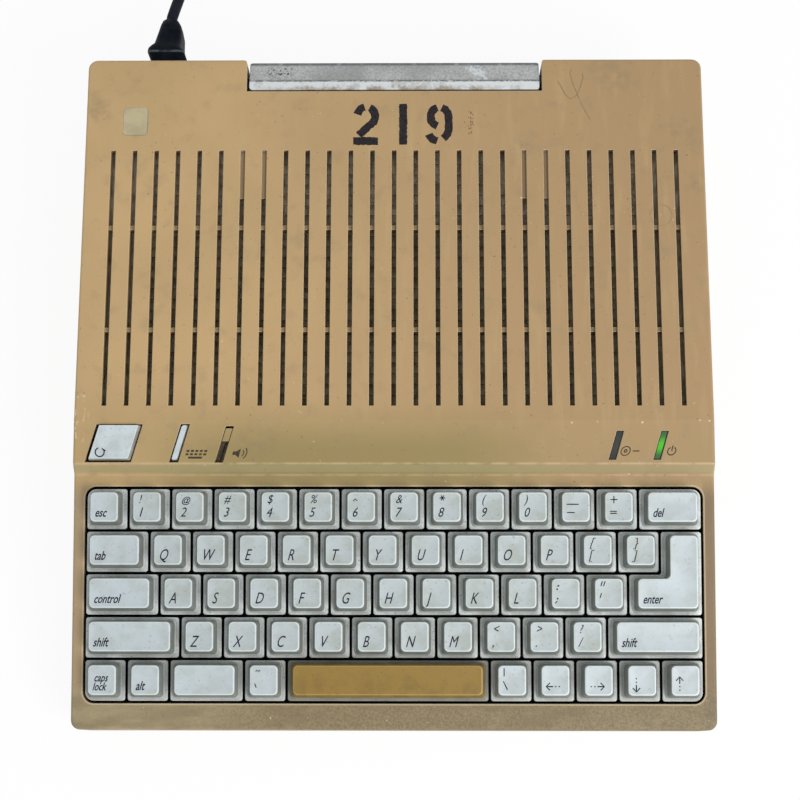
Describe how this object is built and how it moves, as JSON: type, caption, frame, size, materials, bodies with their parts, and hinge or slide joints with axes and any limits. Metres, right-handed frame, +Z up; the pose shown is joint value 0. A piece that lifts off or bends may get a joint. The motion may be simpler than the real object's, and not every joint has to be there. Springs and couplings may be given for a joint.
{
  "type": "vintage home computer",
  "caption": "Compact home computer in a low wedge case with built-in keyboard, disk drive, vented top, rear handle and mains lead.",
  "frame": {"origin": "middle of the case's footprint, on the surface its feet stand on", "axes": "+X to the user's right, +Y to the rear, +Z up"},
  "size_m": [0.288, 0.4976, 0.063],
  "materials": {
    "case_tan": "aged, fine texture",
    "knob_tan": "satin",
    "handle_grey": "worn, speckled",
    "key_grey": "satin, worn",
    "space_gold": "satin, darkened",
    "steel": "plated",
    "sheet_metal": "satin",
    "shield_metal": "dull, dusty",
    "rubber": "matt",
    "black_plastic": "satin",
    "board_green": "satin",
    "dark_window": "smoked",
    "green_window": "lit",
    "brass": "plated",
    "badge_metal": "satin",
    "cord_rubber": "satin"
  },
  "bodies": {
    "case": {"upper_case": "case_tan", "lower_case": "case_tan", "handle_pins": "steel", "rubber_feet": "rubber", "case_screws": "steel", "vent_shield": "shield_metal", "keyboard_plate": "steel", "key_switches": "black_plastic", "keyboard_board": "board_green", "main_board": "board_green", "board_chips": "black_plastic", "power_supply": "sheet_metal", "disk_drive": "sheet_metal", "disk_light": "dark_window", "power_light": "green_window", "power_inlet": "black_plastic", "serial_ports": "black_plastic", "data_ports": "steel", "monitor_jack": "brass", "speaker": "black_plastic", "blank_badge": "badge_metal", "cord_connector": "cord_rubber", "mains_cord": "cord_rubber", "cord_coil": "cord_rubber", "cord_plug": "cord_rubber"},
    "escape_key": {"escape_key": "key_grey"},
    "number_keys_left": {"number_keys_left": "key_grey"},
    "number_keys_middle": {"number_keys_middle": "key_grey"},
    "number_keys_right": {"number_keys_right": "key_grey"},
    "delete_key": {"delete_key": "key_grey"},
    "tab_key": {"tab_key": "key_grey"},
    "upper_keys_left": {"upper_keys_left": "key_grey"},
    "upper_keys_middle": {"upper_keys_middle": "key_grey"},
    "upper_keys_right": {"upper_keys_right": "key_grey"},
    "control_key": {"control_key": "key_grey"},
    "home_keys_left": {"home_keys_left": "key_grey"},
    "home_keys_middle": {"home_keys_middle": "key_grey"},
    "home_keys_right": {"home_keys_right": "key_grey"},
    "return_key": {"return_key": "key_grey"},
    "left_shift_key": {"left_shift_key": "key_grey"},
    "lower_keys_left": {"lower_keys_left": "key_grey"},
    "lower_keys_middle": {"lower_keys_middle": "key_grey"},
    "lower_keys_right": {"lower_keys_right": "key_grey"},
    "right_shift_key": {"right_shift_key": "key_grey"},
    "caps_key": {"caps_key": "key_grey"},
    "option_key": {"option_key": "key_grey"},
    "command_key": {"command_key": "key_grey"},
    "tilde_key": {"tilde_key": "key_grey"},
    "space_bar": {"space_bar": "space_gold"},
    "backslash_key": {"backslash_key": "key_grey"},
    "left_arrow_key": {"left_arrow_key": "key_grey"},
    "right_arrow_key": {"right_arrow_key": "key_grey"},
    "down_arrow_key": {"down_arrow_key": "key_grey"},
    "up_arrow_key": {"up_arrow_key": "key_grey"},
    "reset_button": {"reset_button": "key_grey"},
    "keyboard_switch": {"keyboard_switch": "key_grey"},
    "volume_slider": {"volume_slider": "knob_tan"},
    "eject_button": {"eject_button": "case_tan"},
    "power_switch": {"power_switch": "black_plastic"},
    "handle": {"handle": "handle_grey"}
  },
  "joints": [
    {"name": "escape_key_press", "type": "slide", "parent": "case", "child": "escape_key", "axis": [0, 0.1736, -0.9848], "range_m": [0, 0.0035], "stiffness_N_per_m": 100, "springref_m": -0.005},
    {"name": "number_keys_left_press", "type": "slide", "parent": "case", "child": "number_keys_left", "axis": [0, 0.1736, -0.9848], "range_m": [0, 0.0035], "stiffness_N_per_m": 100, "springref_m": -0.005},
    {"name": "number_keys_middle_press", "type": "slide", "parent": "case", "child": "number_keys_middle", "axis": [0, 0.1736, -0.9848], "range_m": [0, 0.0035], "stiffness_N_per_m": 100, "springref_m": -0.005},
    {"name": "number_keys_right_press", "type": "slide", "parent": "case", "child": "number_keys_right", "axis": [0, 0.1736, -0.9848], "range_m": [0, 0.0035], "stiffness_N_per_m": 100, "springref_m": -0.005},
    {"name": "delete_key_press", "type": "slide", "parent": "case", "child": "delete_key", "axis": [0, 0.1736, -0.9848], "range_m": [0, 0.0035], "stiffness_N_per_m": 100, "springref_m": -0.005},
    {"name": "tab_key_press", "type": "slide", "parent": "case", "child": "tab_key", "axis": [0, 0.1736, -0.9848], "range_m": [0, 0.0035], "stiffness_N_per_m": 100, "springref_m": -0.005},
    {"name": "upper_keys_left_press", "type": "slide", "parent": "case", "child": "upper_keys_left", "axis": [0, 0.1736, -0.9848], "range_m": [0, 0.0035], "stiffness_N_per_m": 100, "springref_m": -0.005},
    {"name": "upper_keys_middle_press", "type": "slide", "parent": "case", "child": "upper_keys_middle", "axis": [0, 0.1736, -0.9848], "range_m": [0, 0.0035], "stiffness_N_per_m": 100, "springref_m": -0.005},
    {"name": "upper_keys_right_press", "type": "slide", "parent": "case", "child": "upper_keys_right", "axis": [0, 0.1736, -0.9848], "range_m": [0, 0.0035], "stiffness_N_per_m": 100, "springref_m": -0.005},
    {"name": "control_key_press", "type": "slide", "parent": "case", "child": "control_key", "axis": [0, 0.1736, -0.9848], "range_m": [0, 0.0035], "stiffness_N_per_m": 100, "springref_m": -0.005},
    {"name": "home_keys_left_press", "type": "slide", "parent": "case", "child": "home_keys_left", "axis": [0, 0.1736, -0.9848], "range_m": [0, 0.0035], "stiffness_N_per_m": 100, "springref_m": -0.005},
    {"name": "home_keys_middle_press", "type": "slide", "parent": "case", "child": "home_keys_middle", "axis": [0, 0.1736, -0.9848], "range_m": [0, 0.0035], "stiffness_N_per_m": 100, "springref_m": -0.005},
    {"name": "home_keys_right_press", "type": "slide", "parent": "case", "child": "home_keys_right", "axis": [0, 0.1736, -0.9848], "range_m": [0, 0.0035], "stiffness_N_per_m": 100, "springref_m": -0.005},
    {"name": "return_key_press", "type": "slide", "parent": "case", "child": "return_key", "axis": [0, 0.1736, -0.9848], "range_m": [0, 0.0035], "stiffness_N_per_m": 100, "springref_m": -0.005},
    {"name": "left_shift_key_press", "type": "slide", "parent": "case", "child": "left_shift_key", "axis": [0, 0.1736, -0.9848], "range_m": [0, 0.0035], "stiffness_N_per_m": 100, "springref_m": -0.005},
    {"name": "lower_keys_left_press", "type": "slide", "parent": "case", "child": "lower_keys_left", "axis": [0, 0.1736, -0.9848], "range_m": [0, 0.0035], "stiffness_N_per_m": 100, "springref_m": -0.005},
    {"name": "lower_keys_middle_press", "type": "slide", "parent": "case", "child": "lower_keys_middle", "axis": [0, 0.1736, -0.9848], "range_m": [0, 0.0035], "stiffness_N_per_m": 100, "springref_m": -0.005},
    {"name": "lower_keys_right_press", "type": "slide", "parent": "case", "child": "lower_keys_right", "axis": [0, 0.1736, -0.9848], "range_m": [0, 0.0035], "stiffness_N_per_m": 100, "springref_m": -0.005},
    {"name": "right_shift_key_press", "type": "slide", "parent": "case", "child": "right_shift_key", "axis": [0, 0.1736, -0.9848], "range_m": [0, 0.0035], "stiffness_N_per_m": 100, "springref_m": -0.005},
    {"name": "caps_key_press", "type": "slide", "parent": "case", "child": "caps_key", "axis": [0, 0.1736, -0.9848], "range_m": [0, 0.0035], "stiffness_N_per_m": 100, "springref_m": -0.005},
    {"name": "option_key_press", "type": "slide", "parent": "case", "child": "option_key", "axis": [0, 0.1736, -0.9848], "range_m": [0, 0.0035], "stiffness_N_per_m": 100, "springref_m": -0.005},
    {"name": "command_key_press", "type": "slide", "parent": "case", "child": "command_key", "axis": [0, 0.1736, -0.9848], "range_m": [0, 0.0035], "stiffness_N_per_m": 100, "springref_m": -0.005},
    {"name": "tilde_key_press", "type": "slide", "parent": "case", "child": "tilde_key", "axis": [0, 0.1736, -0.9848], "range_m": [0, 0.0035], "stiffness_N_per_m": 100, "springref_m": -0.005},
    {"name": "space_bar_press", "type": "slide", "parent": "case", "child": "space_bar", "axis": [0, 0.1736, -0.9848], "range_m": [0, 0.0035], "stiffness_N_per_m": 100, "springref_m": -0.005},
    {"name": "backslash_key_press", "type": "slide", "parent": "case", "child": "backslash_key", "axis": [0, 0.1736, -0.9848], "range_m": [0, 0.0035], "stiffness_N_per_m": 100, "springref_m": -0.005},
    {"name": "left_arrow_key_press", "type": "slide", "parent": "case", "child": "left_arrow_key", "axis": [0, 0.1736, -0.9848], "range_m": [0, 0.0035], "stiffness_N_per_m": 100, "springref_m": -0.005},
    {"name": "right_arrow_key_press", "type": "slide", "parent": "case", "child": "right_arrow_key", "axis": [0, 0.1736, -0.9848], "range_m": [0, 0.0035], "stiffness_N_per_m": 100, "springref_m": -0.005},
    {"name": "down_arrow_key_press", "type": "slide", "parent": "case", "child": "down_arrow_key", "axis": [0, 0.1736, -0.9848], "range_m": [0, 0.0035], "stiffness_N_per_m": 100, "springref_m": -0.005},
    {"name": "up_arrow_key_press", "type": "slide", "parent": "case", "child": "up_arrow_key", "axis": [0, 0.1736, -0.9848], "range_m": [0, 0.0035], "stiffness_N_per_m": 100, "springref_m": -0.005},
    {"name": "reset_press", "type": "slide", "parent": "case", "child": "reset_button", "axis": [0, 0.1392, -0.9903], "range_m": [0, 0.0018], "stiffness_N_per_m": 300, "springref_m": -0.003},
    {"name": "keyboard_switch_press", "type": "slide", "parent": "case", "child": "keyboard_switch", "axis": [0, 0.1392, -0.9903], "range_m": [0, 0.0015]},
    {"name": "volume_slide", "type": "slide", "parent": "case", "child": "volume_slider", "axis": [-0.284, -0.9495, -0.1334], "range_m": [0, 0.0095]},
    {"name": "eject_press", "type": "slide", "parent": "case", "child": "eject_button", "axis": [-1, 0, 0], "range_m": [0, 0.004], "stiffness_N_per_m": 200, "springref_m": -0.003},
    {"name": "power_rocker", "type": "hinge", "parent": "case", "child": "power_switch", "pos_m": [-0.1326, 0.14864, 0.03], "axis": [-1, 0, 0], "range_deg": [0, 14]},
    {"name": "handle_hinge", "type": "hinge", "parent": "case", "child": "handle", "pos_m": [0, 0.14594, 0.02], "axis": [-1, 0, 0], "range_deg": [0, 180]}
  ]
}
